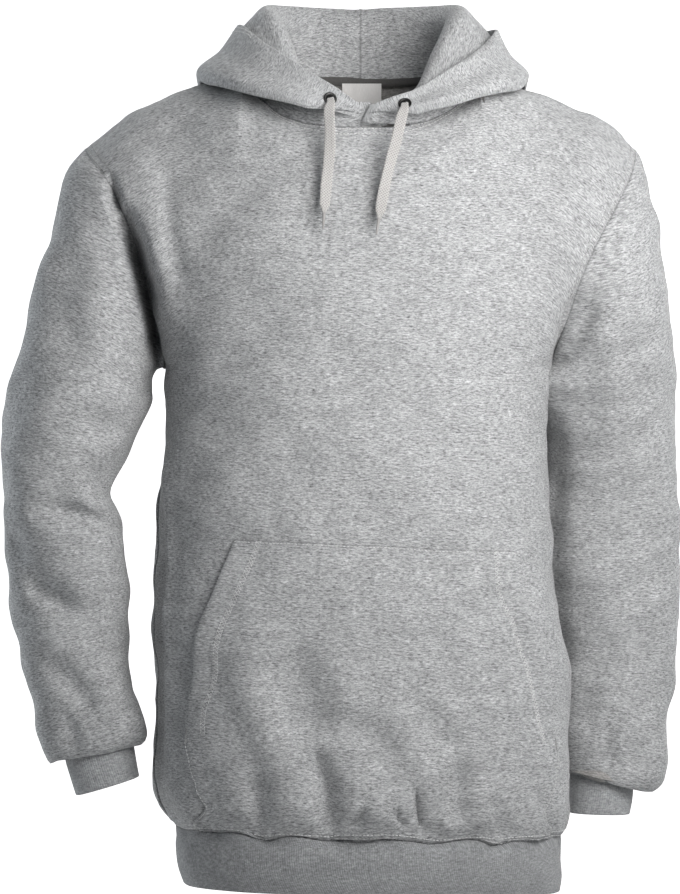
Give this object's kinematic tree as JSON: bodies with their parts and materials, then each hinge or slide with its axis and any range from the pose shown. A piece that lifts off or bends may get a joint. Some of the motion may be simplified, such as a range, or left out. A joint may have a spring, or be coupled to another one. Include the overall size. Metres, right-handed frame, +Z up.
{
  "type": "pullover hoodie",
  "caption": "Pullover hoodie, filled out as if worn: hood pushed back, kangaroo pocket, rib cuffs and waistband, flat drawcord through metal eyelets.",
  "frame": {"origin": "middle of the neck opening, level with the neck ends of the shoulder seams, where the wearer's neck holds the garment up", "axes": "+Z up, -Y the front, +X the wearer's left"},
  "size_m": [0.6183, 0.2922, 0.8085],
  "materials": {
    "fleece": "brushed heather-grey fleece, matt, with short light and dark streaks along the grain",
    "rib": "heather-grey rib knit, matt",
    "tape": "woven herringbone tape, matt",
    "label": "bare woven label, a slight sheen",
    "drawcord": "flat braided cotton, matt",
    "cord_tip": "tightly bound cord end, satin",
    "gunmetal": "dark gunmetal, satin"
  },
  "bodies": {
    "root": {"front": "fleece", "back": "fleece", "sleeve_right": "fleece", "sleeve_left": "fleece", "pocket": "fleece", "hood_right": "fleece", "hood_left": "fleece", "cuff_right": "rib", "cuff_left": "rib", "waistband": "rib", "neck_tape": "tape", "neck_label": "label", "eyelet_right": "gunmetal", "eyelet_left": "gunmetal", "drawcord_right": "drawcord", "drawcord_left": "drawcord", "cord_tip_right": "cord_tip", "cord_tip_left": "cord_tip"}
  },
  "joints": []
}
